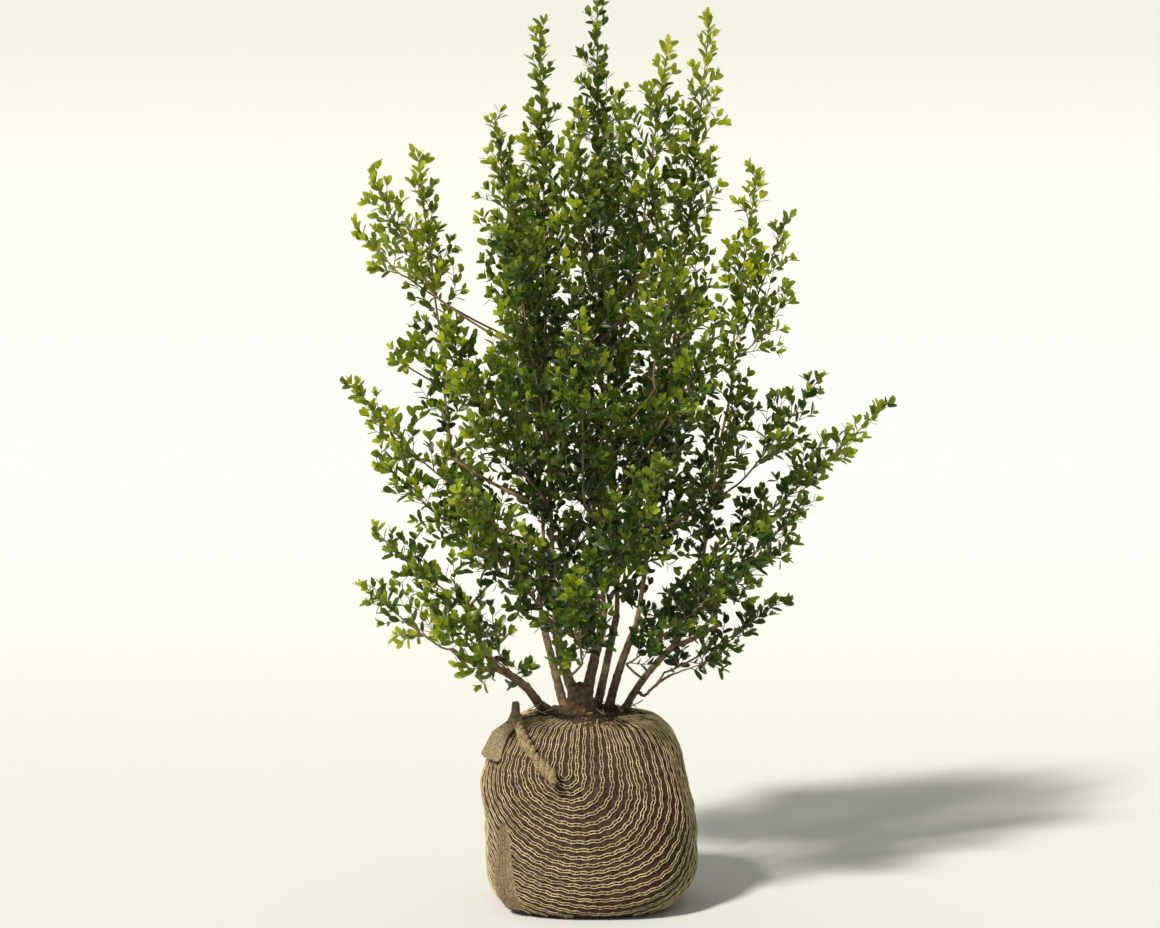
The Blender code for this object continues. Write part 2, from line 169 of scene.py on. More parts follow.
# Rods along many lines at once: at each station a ring of points stands square to the line.
# lines is rods by stations by 3, and radii is rods by stations
def rods(lines, radii, sides):
    ways = unit(np.gradient(lines, axis=1))
    steep = np.abs(ways[:, :1, 2:]) >= 0.9
    aside = np.where(steep, np.array([1.0, 0.0, 0.0]), up)
    across = unit(np.cross(aside, ways[:, :1]))
    across = unit(across - ways * (across * ways).sum(-1, keepdims=True))
    over = np.cross(ways, across)
    turn = turnsOf(sides)[:, None]
    ring = across[:, :, None] * np.cos(turn) + over[:, :, None] * np.sin(turn)
    points = lines[:, :, None] + ring * radii[:, :, None, None]
    count, stations = radii.shape
    starts = np.arange(count) * stations * sides
    faces = gridFaces(stations, sides)[None] + starts[:, None, None]
    return points.reshape(-1, 3), faces.reshape(-1, 4)


# A node's corners and triangles as the frame has them
def nodeShape(name):
    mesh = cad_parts[name].data
    points = np.empty(len(mesh.vertices) * 3, np.float32)
    mesh.vertices.foreach_get("co", points)
    mesh.calc_loop_triangles()
    faces = np.empty(len(mesh.loop_triangles) * 3, np.int32)
    mesh.loop_triangles.foreach_get("vertices", faces)
    return points.reshape(-1, 3).astype(float), faces.reshape(-1, 3)


# Search tree for rays against a node's surface
def nodeSurface(name):
    return BVHTree.FromPolygons(*(part.tolist() for part in nodeShape(name)))


middleLook = {
    "spread": 11,  # of these fit in the solid's length; the weights fall off over one
    "endDepth": 0.004,  # corners this near an end give the line's end
}


# Middle line of a long solid from the end near the hub to its tip, and its mean radius at each
# point: corners averaged with weights that fall off along the solid's longest direction
def middleLine(points, count):
    middle = points.mean(0)
    way = np.linalg.svd(points - middle, full_matrices=False)[2][0]
    along = (points - middle) @ way
    if size(middle + way * along.max() - hub) < size(middle + way * along.min() - hub):
        way, along = -way, -along
    places = np.linspace(along.min(), along.max(), count)
    weights = np.exp(-((places[:, None] - along) / (np.ptp(along) / middleLook["spread"])) ** 2)
    weights /= weights.sum(1, keepdims=True)
    line = weights @ points
    line += way * (places - (line - middle) @ way)[:, None]
    for end, limit in ((0, along.min()), (-1, along.max())):
        line[end] = points[np.abs(along - limit) < middleLook["endDepth"]].mean(0)
    gaps = points[None] - line[:, None]
    gaps = size(gaps - (gaps @ way)[..., None] * way)[..., 0]
    return line, (weights * gaps).sum(1)


# Point and direction at a share of a line, between its two nearest points
def placeOn(line, share):
    spot = share * (len(line) - 1)
    low = int(min(spot, len(line) - 2))
    step = line[low + 1] - line[low]
    return line[low] + step * (spot - low), unit(step)


# Length of a line: the sum of its steps
def lengthOf(line):
    return float(size(np.diff(line, axis=0)).sum())


shootLook = {
    "stations": 6,
    "lift": 0.16,  # rise of the tip as a share of the length
    "wander": 0.05,  # sideways bend, likewise
}


# A shoot that leaves a place in a direction: straight, plus a bend that grows with the square
# of the share of its length
def grown(start, way, length):
    share = np.linspace(0, 1, shootLook["stations"])[:, None]
    bend = up * shootLook["lift"] + rng.normal(0, shootLook["wander"], 3)
    return start + way * length * share + bend * length * share**2


# Direction at an angle off another, at a turn round it
def offWay(way, angle, turn):
    across = unit(np.cross(way, (0.0, 1.0, 0.2)))
    over = np.cross(way, across)
    aside = across * math.cos(turn) + over * math.sin(turn)
    return way * math.cos(angle) + aside * math.sin(angle)


# Branching rule: every plume has one main shoot along its middle line; side shoots leave it at
# a golden angle and reach for the plume's surface; short twigs leave the side shoots in turn
plumeLook = {
    "stations": 24,
    "sideStep": 0.0125,  # metres between side shoots
    "sideSpot": (0.2, 0.8),  # place of each within its step
    "sideTurn": 0.25,  # unevenness of the golden turn
    "sideAngle": (0.55, 0.95),  # off the main shoot
    "sideAngleEnds": (1.15, 0.80),  # factors on it at the foot and the tip
    "sideReach": (0.80, 1.10),  # share of the way to the surface
    "sideRange": (0.014, 0.15),
    "twigStep": 0.015,
    "twigFirst": 0.010,  # bare foot of a side shoot
    "twigLast": 0.012,  # bare tip
    "twigTurn": 0.7,
    "twigAngle": (0.6, 1.0),
    "twigLength": (0.018, 0.045),
    "twigRange": (0.014, 0.040),
    "mainRadius": (0.0009, 0.0030),  # at no length, and per metre of length
    "sideRadius": 0.0008,
    "twigRadius": 0.00055,
    "mainTipRadius": 0.0006,
    "tipRadius": 0.00035,
}


# Free way from a place to a plume's surface, or a default where the ray misses
def wayFree(surface, place, way, default):
    hit = surface.ray_cast(Vector(place), Vector(way))
    return default if hit[3] is None else hit[3]


# What later stages read of a shoot; order is 0 for a main shoot, 1 for a side shoot, 2 for a
# short twig, and spray is the draw its leaves' tint shares
def asShoot(line, radius, order, length, spray):
    return {"line": line, "radius": radius, "order": order, "length": length, "spray": spray}


# Short twigs left and right along one side shoot
def growTwigs(side, reach, spray, surface):
    look = plumeLook
    twigs = []
    for step in range(int((reach - look["twigLast"]) / look["twigStep"])):
        share = (look["twigFirst"] + (step + 0.5) * look["twigStep"]) / reach
        place, along = placeOn(side, share)
        angle = rng.uniform(*look["twigAngle"])
        way = offWay(along, angle, step * math.pi + rng.normal(0, look["twigTurn"]))
        free = wayFree(surface, place, way, look["twigRange"][0])
        length = float(np.clip(min(free, rng.uniform(*look["twigLength"])), *look["twigRange"]))
        line = grown(place, way, length)
        twigs.append(asShoot(line, look["twigRadius"], 2, length, spray))
    return twigs


# All shoots of one plume, the main shoot first
def growPlume(name):
    look = plumeLook
    line, _ = middleLine(nodeShape(name)[0], look["stations"])
    surface = nodeSurface(name)
    length = lengthOf(line)
    radius = look["mainRadius"][0] + look["mainRadius"][1] * length
    made = [asShoot(line, radius, 0, length, rng.normal())]
    count = int(length / look["sideStep"])
    turn = rng.uniform(*anyTurn)
    atFoot, atTip = look["sideAngleEnds"]
    for number in range(count):
        share = (number + rng.uniform(*look["sideSpot"])) / count
        start, along = placeOn(line, share)
        turn += goldenTurn + rng.normal(0, look["sideTurn"])
        angle = rng.uniform(*look["sideAngle"]) * (atFoot + (atTip - atFoot) * share)
        way = offWay(along, angle, turn)
        free = wayFree(surface, start, way, look["sideRange"][0])
        reach = float(np.clip(free * rng.uniform(*look["sideReach"]), *look["sideRange"]))
        side = grown(start, way, reach)
        spray = rng.normal()
        made.append(asShoot(side, look["sideRadius"], 1, reach, spray))
        made += growTwigs(side, reach, spray, surface)
    return made


shoots = []
mainShoots = []
for name in plumeNames:
    plumeShoots = growPlume(name)
    mainShoots.append(plumeShoots[0])
    shoots += plumeShoots
print("shoots", len(shoots))

limbLook = {
    "read": 14,  # points read from the CAD solid
    "stations": 40,
    "sides": 18,
    "width": 0.92,  # of the CAD limb's mean radius, before the ridges
    "flare": 0.35,  # added at the foot
    "flareFade": 9.0,
    "ridges": 5,
    "ridgeDepth": 0.07,  # of the radius
    "barkDepth": 0.00045,
    "barkGrain": ((0.006, 3), (0.0025, 4)),  # wavelength and seed
    "sunk": 0.010,  # length of a stem below its cut, in the trunk or the soil
}
limbLines = {name: middleLine(nodeShape(name)[0], limbLook["read"]) for name in limbNames}
stemLines = np.concatenate([line for name, (line, _) in limbLines.items() if name.startswith("stem")])


# Evenly spaced points on a smooth curve through a few: a dense polyline, averaged repeatedly
def smoothed(points, count, rounds=6):
    steps = np.concatenate([[0.0], np.cumsum(size(np.diff(points, axis=0))[:, 0])])
    places = np.linspace(0, steps[-1], count)
    line = np.stack([np.interp(places, steps, points[:, axis]) for axis in range(3)], 1)
    for _ in range(rounds):
        line[1:-1] = (line[:-2] + line[1:-1] * 2 + line[2:]) / 4
    return line


# A limb with bark relief: ridges as a sine round it, and two sizes of waves. Its foot is carried
# on into what bears it, which for a bough is the nearest point of a stem
def barkedLimb(name, line, radii):
    look = limbLook
    foot = line[0] + unit(line[0] - line[2]) * look["sunk"]
    if not name.startswith("stem"):
        foot = stemLines[np.argmin(size(stemLines - line[0])[:, 0])]
    path = smoothed(np.vstack([foot, line]), look["stations"])
    share = np.linspace(0, 1, look["stations"])
    wide = np.interp(share, np.linspace(0, 1, len(radii)), radii)
    wide *= look["width"] + look["flare"] * np.exp(-share * look["flareFade"])
    points, faces = rods(path[None], wide[None], look["sides"])
    ring = np.tile(turnsOf(look["sides"]), look["stations"])
    relief = wide.repeat(look["sides"]) * look["ridgeDepth"] * np.sin(look["ridges"] * ring)
    relief += look["barkDepth"] * sum(waves(points, *grain) for grain in look["barkGrain"])
    out = unit(points - np.repeat(path, look["sides"], 0))
    return points + out * relief[:, None], faces


# Trunk: a flare of lobes sunk in the soil, a neck, and a rounded top that the stems rise from
trunkLook = {
    "foot": (-0.008, -0.008),
    "heights": (0.246, 0.254, 0.260, 0.267, 0.274, 0.281, 0.288, 0.292),
    "radii": (0.034, 0.0265, 0.0205, 0.0172, 0.0165, 0.0176, 0.0150, 0.0040),
    "lobes": 5,
    "lobeDepth": 0.16,
    "lobeTurn": 0.6,
    "stations": 40,
    "sides": 64,
    "middle": 0.268,  # height that the bark's relief stands away from
    "steepness": 0.2,  # how far the relief follows up and down
    "bark": ((0.0010, 0.012, 5), (0.0006, 0.005, 6)),  # depth, wavelength and seed
}


def barkedTrunk():
    look = trunkLook
    heights = np.linspace(look["heights"][0], look["heights"][-1], look["stations"])
    reach = np.interp(heights, look["heights"], look["radii"])[:, None]
    turn = turnsOf(look["sides"])
    fade = np.linspace(1, 0, look["stations"])[:, None]
    lobed = reach * (1 + look["lobeDepth"] * fade * np.cos(look["lobes"] * turn + look["lobeTurn"]))
    x = look["foot"][0] + lobed * np.cos(turn)
    y = look["foot"][1] + lobed * np.sin(turn)
    points = np.stack([x, y, np.broadcast_to(heights[:, None], x.shape)], -1).reshape(-1, 3)
    out = (points - np.array([*look["foot"], look["middle"]])) * (1, 1, look["steepness"])
    relief = sum(depth * waves(points, grain, seed) for depth, grain, seed in look["bark"])
    return points + unit(out) * relief[:, None], gridFaces(look["stations"], look["sides"])


limbParts = [barkedLimb(name, line, radii) for name, (line, radii) in limbLines.items()]
limbParts.append(barkedTrunk())
barkFinish = finish("bark", (0.150, 0.100, 0.060), 0.85, mottle=0.55, grain=0.006, specular=0.2)
addPiece("stems", *joined(limbParts), barkFinish, "bark", ["trunk_base", *limbNames])

boughLook = {
    "rise": 0.45,  # least rise of a bough for its level reach
    "flatCost": 1.2,  # of lying lower than that, beside the distance
    "closest": 0.002,
    "bearerLength": 0.55,  # plumes longer than this bear others
    "bearerSpan": slice(2, 17),  # points of such a plume's main shoot that do
    "sag": 0.08,  # of the length
    "stations": 14,
    "sides": 8,
    "footWidth": 1.25,  # of the main shoot's radius
}
bearers = [line for line, _ in limbLines.values()]
for main in mainShoots:
    if main["length"] > boughLook["bearerLength"]:
        bearers.append(main["line"][boughLook["bearerSpan"]])
bearers = np.concatenate(bearers)


# Inner bough: a parabola that carries a plume's main shoot down to what bears it, found as the
# nearest point that lies low enough for the bough to rise
def innerBough(foot):
    gap = bearers - foot
    far = size(gap)[:, 0]
    flat = np.maximum(gap[:, 2] + boughLook["rise"] * size(gap[:, :2])[:, 0], 0)
    cost = np.where(far > boughLook["closest"], far + boughLook["flatCost"] * flat, np.inf)
    bearer = bearers[np.argmin(cost)]
    bend = (foot + bearer) / 2 - up * boughLook["sag"] * size(foot - bearer)[0]
    share = np.linspace(0, 1, boughLook["stations"])[:, None]
    return (1 - share) ** 2 * bearer + 2 * share * (1 - share) * bend + share**2 * foot


inner = np.array([innerBough(main["line"][0]) for main in mainShoots])
thick = np.array([main["radius"] for main in mainShoots])[:, None]
innerRadii = thick * np.linspace(boughLook["footWidth"], 1, boughLook["stations"])
mains = np.array([main["line"] for main in mainShoots])
taper = np.linspace(0, 1, plumeLook["stations"])
mainRadii = thick + (plumeLook["mainTipRadius"] - thick) * taper
boughParts = [rods(inner, innerRadii, boughLook["sides"]), rods(mains, mainRadii, boughLook["sides"])]
woodFinish = finish("young_bark", (0.230, 0.145, 0.075), 0.7, mottle=0.35, grain=0.01, specular=0.3)
addPiece("boughs", *joined(boughParts), woodFinish, "bark")

# Side shoots and short twigs: name, order and colour, the youngest yellower
twigLook = {
    "sides": 5,
    "roughness": 0.6,
    "kinds": (("twigs", 1, (0.200, 0.130, 0.055)), ("shoot_tips", 2, (0.230, 0.220, 0.060))),
}
for piece, order, colour in twigLook["kinds"]:
    chosen = [shoot for shoot in shoots if shoot["order"] == order]
    lines = np.array([shoot["line"] for shoot in chosen])
    thick = np.array([shoot["radius"] for shoot in chosen])[:, None]
    radii = thick + (plumeLook["tipRadius"] - thick) * np.linspace(0, 1, shootLook["stations"])
    twigFinish = finish(piece, colour, twigLook["roughness"])
    addPiece(piece, *rods(lines, radii, twigLook["sides"]), twigFinish, "bark")

# Leaves: obovate blades on the shoots, turned a golden angle from one to the next, with their
# upper face to the shoot's tip, and a cluster of small ones at each tip
leafLook = {
    "step": 0.0058,
    "spot": (0.1, 0.9),  # place of each within its step
    "length": (0.0135, 0.0190),
    "width": 0.49,  # of the length
    "angle": (0.65, 1.15),  # off the shoot
    "turn": 0.3,  # unevenness of the golden turn
    "lift": 0.22,  # towards the sky
    "tumble": 0.22,  # unevenness of the upper face
    "bareShare": (0.62, 0.10, 0.06),  # foot of a main shoot, side shoot and twig without leaves
    "tipLeaves": 4,
    "tipPlace": 0.995,
    "tipAngle": (0.25, 0.75),
    "tipScale": (0.55, 0.9),
    "stations": (0.10, 0.28, 0.50, 0.72, 0.90),
    "widths": (0.46, 0.84, 1.00, 0.94, 0.60),
    "cup": 0.10,  # how far the edges stand above the midrib, in widths
    "droop": 0.10,  # how far the tip bends back, in lengths
}


# One blade along X with its upper face to +Z: a fan at each end and strips left and right of
# the midrib, at the stations and widths above
def leafTemplate():
    points = [(0.0, 0.0, 0.0)]
    for along, wide in zip(leafLook["stations"], leafLook["widths"]):
        low = -leafLook["droop"] * along**2
        edge = low + leafLook["cup"] * wide * leafLook["width"]
        points += [(along, -wide / 2, edge), (along, 0.0, low), (along, wide / 2, edge)]
    points.append((1.0, 0.0, -leafLook["droop"]))
    last = len(points) - 1
    faces = [(0, 1, 2), (0, 2, 3)]
    for first in range(1, last - 3, 3):
        for near in (first, first + 1):
            faces += [(near, near + 3, near + 4), (near, near + 4, near + 1)]
    faces += [(last - 3, last, last - 2), (last - 2, last, last - 1)]
    return np.array(points), np.array(faces)


# Leaves of one shoot, each as a row: place, direction, upper face, length, the spray's draw and
# how near the tip it is
def leavesOn(shoot):
    look = leafLook
    bare = look["bareShare"][shoot["order"]]
    count = max(int(shoot["length"] * (1 - bare) / look["step"]), 1)
    turn = rng.uniform(*anyTurn)
    rows = []
    for number in range(count + look["tipLeaves"]):
        atTip = number >= count
        share = look["tipPlace"]
        if not atTip:
            share = bare + (1 - bare) * (number + rng.uniform(*look["spot"])) / count
        place, along = placeOn(shoot["line"], min(share, look["tipPlace"]))
        turn += goldenTurn + rng.normal(0, look["turn"])
        angle = rng.uniform(*look["tipAngle"]) if atTip else rng.uniform(*look["angle"])
        way = unit(offWay(along, angle, turn) + up * look["lift"])
        length = rng.uniform(*look["length"]) * (rng.uniform(*look["tipScale"]) if atTip else 1.0)
        face = unit(along + rng.normal(0, look["tumble"], 3) - way * float(along @ way))
        face = unit(face - way * float(face @ way))
        rows.append((*place, *way, *face, length, shoot["spray"], float(atTip) + share * 0.5))
    return rows


rows = np.array([row for shoot in shoots for row in leavesOn(shoot)])
print("leaves", len(rows))
template, templateFaces = leafTemplate()
place, way, face = rows[:, None, 0:3], rows[:, None, 3:6], rows[:, None, 6:9]
length = rows[:, None, 9:10]
blades = place + way * length * template[:, :1]
blades += np.cross(face, way) * length * leafLook["width"] * template[:, 1:2]
blades += face * length * template[:, 2:]

# Tints run from painted deep shade to painted sunlit tips. Each leaf's place in the run comes from how far
# out and how high it stands (painted light outside and on top, painted shade inside and below), how near
# its shoot's tip it is, and a draw for its spray; leaves low on the right, away from the key, are darker
# with painted shade
tintAndPaintedLightLook = {
    # from near-black painted shade to yellow-green painted sunlight
    "paintedShadeToSunColours": (
        (0.008, 0.020, 0.006),
        (0.016, 0.036, 0.008),
        (0.032, 0.064, 0.010),
        (0.062, 0.108, 0.012),
        (0.115, 0.172, 0.013),
        (0.190, 0.258, 0.014),
        (0.300, 0.360, 0.016),
        (0.430, 0.470, 0.024),
    ),
    "heights": (0.30, 0.45, 0.70, 0.90, 1.05, 1.20),
    "radii": (0.20, 0.28, 0.29, 0.23, 0.15, 0.06),  # of the whole plant at those heights
    "furthest": 1.2,
    "bottom": 0.32,
    "span": 0.85,
    "start": 0.10,
    # weights of painted light: outer and higher leaves lighter, inner and lower ones darker as painted
    # shade
    "outness": 0.34,
    "height": 0.34,
    "tip": 0.16,
    "spray": 0.10,
    # painted shade on leaves low on the right, away from the key
    "right": 0.16,
    "rightReach": 0.3,
    "rightRange": (-0.6, 1.0),
    "leaf": 0.05,  # unevenness from leaf to leaf
    "light": 0.34,
    "roughness": 0.36,
}
crownRadius = np.interp(rows[:, 2], tintAndPaintedLightLook["heights"], tintAndPaintedLightLook["radii"])
outness = np.clip(np.hypot(rows[:, 0], rows[:, 1]) / crownRadius, 0, tintAndPaintedLightLook["furthest"])
height = np.clip((rows[:, 2] - tintAndPaintedLightLook["bottom"]) / tintAndPaintedLightLook["span"], 0, 1)
# place in the run: painted light from outness and height, then tip, spray, painted shade on the low right,
# and leaf-to-leaf unevenness
shadeToSunPlace = tintAndPaintedLightLook["start"] + tintAndPaintedLightLook["outness"] * outness + tintAndPaintedLightLook["height"] * height
shadeToSunPlace += tintAndPaintedLightLook["tip"] * rows[:, 11] + tintAndPaintedLightLook["spray"] * rows[:, 10]
right = np.clip(rows[:, 0] / tintAndPaintedLightLook["rightReach"], *tintAndPaintedLightLook["rightRange"])
shadeToSunPlace -= tintAndPaintedLightLook["right"] * right * (1 - height)
shadeToSunPlace += rng.normal(0, tintAndPaintedLightLook["leaf"], len(shadeToSunPlace))
tints = len(tintAndPaintedLightLook["paintedShadeToSunColours"])
dealt = np.clip((shadeToSunPlace * tints).astype(int), 0, tints - 1)
for tint, colour in enumerate(tintAndPaintedLightLook["paintedShadeToSunColours"]):
    mine = blades[dealt == tint]
    faces = templateFaces[None] + (np.arange(len(mine)) * len(template))[:, None, None]
    leaf = finish(f"leaf_{tint}", colour, tintAndPaintedLightLook["roughness"], light=tintAndPaintedLightLook["light"])
    addPiece(f"leaves_{tint}", mine.reshape(-1, 3), faces.reshape(-1, 3), leaf, "foliage", plumeNames)

# Root ball. Its surface is read from the CAD solid as a table of radii by turn and height, and
# carried over the shoulder on to the soil
ballLook = {
    "turns": 96,
    "levels": 48,
    "bottom": 0.0015,
    "top": 0.2438,
    "smoothing": 3,
    "meanRadius": 0.132,
    "shoulder": 0.060,  # length of net folded in over the soil
    "shoulderIn": 0.9,  # how far the shoulder runs in and up, for its length
    "shoulderUp": 0.16,
    "rows": 130,
    "columns": 260,
    "swell": 0.0016,
    "bumps": ((1.2, 0.07, 11), (0.7, 0.028, 12)),  # share, wavelength and seed
    "swellFrom": 0.02,  # height at which the swell is full
    "weave": (0.0007, 0.009, 13),  # depth, wavelength and seed
    "rimShare": 0.94,  # the lowest ring, beside the one above
}
level = (1, 1, 0)  # takes a vector's level part


# Radii of the ball by ray from its axis, smoothed up and round
def ballTable():
    surface = nodeSurface("root_ball")
    table = np.empty((ballLook["levels"], ballLook["turns"]))
    heights = np.linspace(ballLook["bottom"], ballLook["top"], ballLook["levels"])
    for row, height in enumerate(heights):
        for column, angle in enumerate(turnsOf(ballLook["turns"])):
            ray = (math.cos(angle), math.sin(angle), 0.0)
            table[row, column] = wayFree(surface, (0.0, 0.0, height), ray, 0.1)
    for _ in range(ballLook["smoothing"]):
        table[1:-1] = (table[:-2] + 2 * table[1:-1] + table[2:]) / 4
        table = (np.roll(table, 1, 1) + 2 * table + np.roll(table, -1, 1)) / 4
    return table


ballRadii = ballTable()


# Points of the ball's surface at turns round it and lengths up it: the table read between its
# nearest entries, plus waves; past the top the length runs in over the shoulder
def ballPoints(angle, length, lift=0.0):
    look = ballLook
    column = (angle / fullTurn * look["turns"]) % look["turns"]
    left = column.astype(int) % look["turns"]
    right = (left + 1) % look["turns"]
    part = column - column.astype(int)
    row = np.clip(length, look["bottom"], look["top"]) / look["top"] * (look["levels"] - 1)
    low = np.clip(row.astype(int), 0, look["levels"] - 2)
    lower = ballRadii[low, left] * (1 - part) + ballRadii[low, right] * part
    upper = ballRadii[low + 1, left] * (1 - part) + ballRadii[low + 1, right] * part
    past = np.maximum(length - look["top"], 0)
    radius = lower + (upper - lower) * (row - low) - past * look["shoulderIn"] + lift
    z = np.minimum(length, look["top"]) + past * look["shoulderUp"] + lift * np.clip(past / 0.01, 0, 1)
    points = np.stack([radius * np.cos(angle), radius * np.sin(angle), z], -1)
    bumps = sum(share * waves(points, grain, seed) for share, grain, seed in look["bumps"])
    bumps *= look["swell"] * np.clip(z / look["swellFrom"], 0, 1)
    return points + unit(points * level) * bumps[..., None]


angle, length = np.meshgrid(
    turnsOf(ballLook["columns"]),
    np.linspace(0.0, ballLook["top"] + ballLook["shoulder"], ballLook["rows"]),
)
points = ballPoints(angle, length)
depth, grain, seed = ballLook["weave"]
points += unit(points * level) * (depth * waves(points, grain, seed))[..., None]
points[0, :, :2] *= ballLook["rimShare"]
points[0, :, 2] = 0.0
ballFinish = finish("net_cloth", (0.060, 0.038, 0.028), 0.95, mottle=0.6, grain=0.004, specular=0.1)
ballFaces = gridFaces(ballLook["rows"], ballLook["columns"])
addPiece("net_ball", points.reshape(-1, 3), ballFaces, ballFinish, "netted_soil", ["root_ball"])
rim = np.arange(ballLook["columns"])
fan = np.stack([np.full_like(rim, ballLook["columns"]), np.roll(rim, -1), rim], 1)
underside = np.vstack([points[0], [[0.0, 0.0, 0.0]]])
addPiece("net_underside", underside, fan, ballFinish, "netted_soil")

# Yarns: pairs with small rungs between them, each pair a U round the knot as seen on the
# unrolled surface, and kinked a little
yarnLook = {
    "knot": (math.radians(258.0), 0.192),  # turn and height
    "first": 0.005,  # radius of the innermost U
    "spacing": 0.0108,
    "rings": 37,
    "apart": 0.0038,
    "radius": 0.00062,
    "plump": (0.25, 2.1),  # swelling along a yarn: share, and turn from station to station
    "rungRadius": 0.7,  # of the yarn's
    "sides": 5,
    "step": 0.0035,
    "kink": 0.0011,
    "kinkLength": 0.017,
    "wave": 0.0022,
    "waveLength": 0.05,
    "waveDrift": 20.0,  # turn of the wave for each metre of radius
    "lean": 0.22,  # how far the foot of each U stands to the right, as a share of its radius
    "stretch": 0.92,
    "lift": 0.0010,
    "lowest": 0.004,
    "highest": 0.8,  # share of the shoulder
    "rungStep": 0.0065,
    "shortest": 3,
}


# One yarn on the ball: two legs that run up over the shoulder and a half ring below. Returns
# its points and where they are on the net; phase moves its kinks
def yarnLine(radius, phase, shift):
    look = yarnLook
    leg = ballLook["top"] + ballLook["shoulder"] - look["knot"][1]
    bow = math.pi * radius
    travelled = np.arange(0, 2 * leg + bow, look["step"])
    swing = np.clip((travelled - leg) / bow, 0, 1) * math.pi - math.pi / 2
    above = np.maximum(leg - travelled, 0) + np.maximum(travelled - leg - bow, 0)
    kink = np.abs((travelled / look["kinkLength"] + phase) % 1.0 - 0.5) * 4 - 1
    wave = look["wave"] * np.sin(travelled / look["waveLength"] + radius * look["waveDrift"])
    wide = radius + shift + look["kink"] * kink + wave
    sideways = wide * np.sin(swing) + look["lean"] * radius * np.cos(swing)
    height = look["knot"][1] - wide * np.cos(swing) * look["stretch"] + above
    highest = ballLook["top"] + ballLook["shoulder"] * look["highest"]
    free = (height > look["lowest"]) & (height < highest)
    free &= np.abs(sideways) < math.pi * ballLook["meanRadius"]
    angle = look["knot"][0] + sideways / ballLook["meanRadius"]
    return ballPoints(angle, height, look["lift"]), free


# Splits an array of flags into the runs that are set, as pairs of first and after last
def runsOf(flags):
    edges = np.flatnonzero(np.diff(np.concatenate([[0], flags.astype(int), [0]])))
    pairs = zip(edges[::2], edges[1::2])
    return [slice(first, last) for first, last in pairs if last - first > yarnLook["shortest"]]


yarnParts, rungParts = [], []
every = round(yarnLook["rungStep"] / yarnLook["step"])
for ring in range(yarnLook["rings"]):
    radius = yarnLook["first"] + ring * yarnLook["spacing"]
    phase = rng.uniform(0, 1)
    left, free = yarnLine(radius, phase, -yarnLook["apart"] / 2)
    right, _ = yarnLine(radius, phase, yarnLook["apart"] / 2)
    for run in runsOf(free):
        swell, pace = yarnLook["plump"]
        for line in (left[run], right[run]):
            wide = yarnLook["radius"] * (1 + swell * np.sin(np.arange(len(line)) * pace + phase))
            yarnParts.append(rods(line[None], wide[None], yarnLook["sides"]))
        ends = np.stack([left[run][::every], right[run][::every]], 1)
        rungs = ends[:, :1] + (ends[:, 1:] - ends[:, :1]) * np.linspace(0, 1, 3)[None, :, None]
        wide = np.full(rungs.shape[:2], yarnLook["radius"] * yarnLook["rungRadius"])
        rungParts.append(rods(rungs, wide, yarnLook["sides"]))
yarnFinish = finish("yarn", (0.520, 0.415, 0.230), 0.8, mottle=0.35, grain=0.02, specular=0.2)
addPiece("net_yarns", *joined(yarnParts), yarnFinish, "netting")
addPiece("net_rungs", *joined(rungParts), yarnFinish, "netting")

# Twisted roll of net: strands wound round the CAD rod's middle line
twistLook = {
    "strands": 4,
    "turnsAround": 3.2,
    "read": 12,
    "stations": 60,
    "strand": 0.0042,  # radius
    "offset": 0.0046,  # from the middle line
    "swell": (0.8, 0.35, 0.8),  # least, depth, and pace beside the winding
    "fuzz": 0.00025,
    "sides": 10,
}


# One strand: a coil round the line, with a swelling radius and a fine roughness
def strandRound(line, number):
    least, depth, pace = twistLook["swell"]
    wound = np.linspace(0, twistLook["turnsAround"] * fullTurn, twistLook["stations"])
    turn = (wound + number * fullTurn / twistLook["strands"])[:, None]
    ways = unit(np.gradient(line, axis=0))
    across = unit(np.cross(ways, up))
    over = np.cross(ways, across)
    swell = (least + depth * np.sin(wound * pace + number))[:, None]
    path = line + (across * np.cos(turn) + over * np.sin(turn)) * twistLook["offset"] * swell
    points, faces = rods(path[None], (twistLook["strand"] * swell[:, 0])[None], twistLook["sides"])
    return points + rng.normal(0, twistLook["fuzz"], points.shape), faces


twistLine, _ = middleLine(nodeShape("wrap_twist")[0], twistLook["read"])
twistLine = smoothed(twistLine, twistLook["stations"])
strands = [strandRound(twistLine, number) for number in range(twistLook["strands"])]
twistFinish = finish("net_twist", (0.300, 0.220, 0.120), 0.9, mottle=0.5, grain=0.003, specular=0.1)
addPiece("net_twist", *joined(strands), twistFinish, "netting", ["wrap_twist"])

padLook = {
    "rows": 60,
    "columns": 60,
    "rays": 90,
    "rayFrom": 0.4,
    "inset": 0.0006,  # kept off the pad's lowest and highest corners
    "pleats": 7,
    "depth": 0.0022,
    "slant": 2.0,  # turn of the pleats from bottom to top
    "edge": 0.0035,  # how far the sides pull in
    "smoothing": 3,
    "thickness": 0.965,  # the back, as a share of the front's distance from the middle
}


# Turns and reaches at which rays from outside hit a pad at one height
def padOutline(surface, angles, z):
    far = padLook["rayFrom"]
    reach = np.full(len(angles), np.nan)
    for place, angle in enumerate(angles):
        ray = (-math.cos(angle), -math.sin(angle), 0.0)
        start = (-far * ray[0], -far * ray[1], z)
        reach[place] = far - wayFree(surface, start, ray, np.nan)
    seen = ~np.isnan(reach)
    return angles[seen], reach[seen]


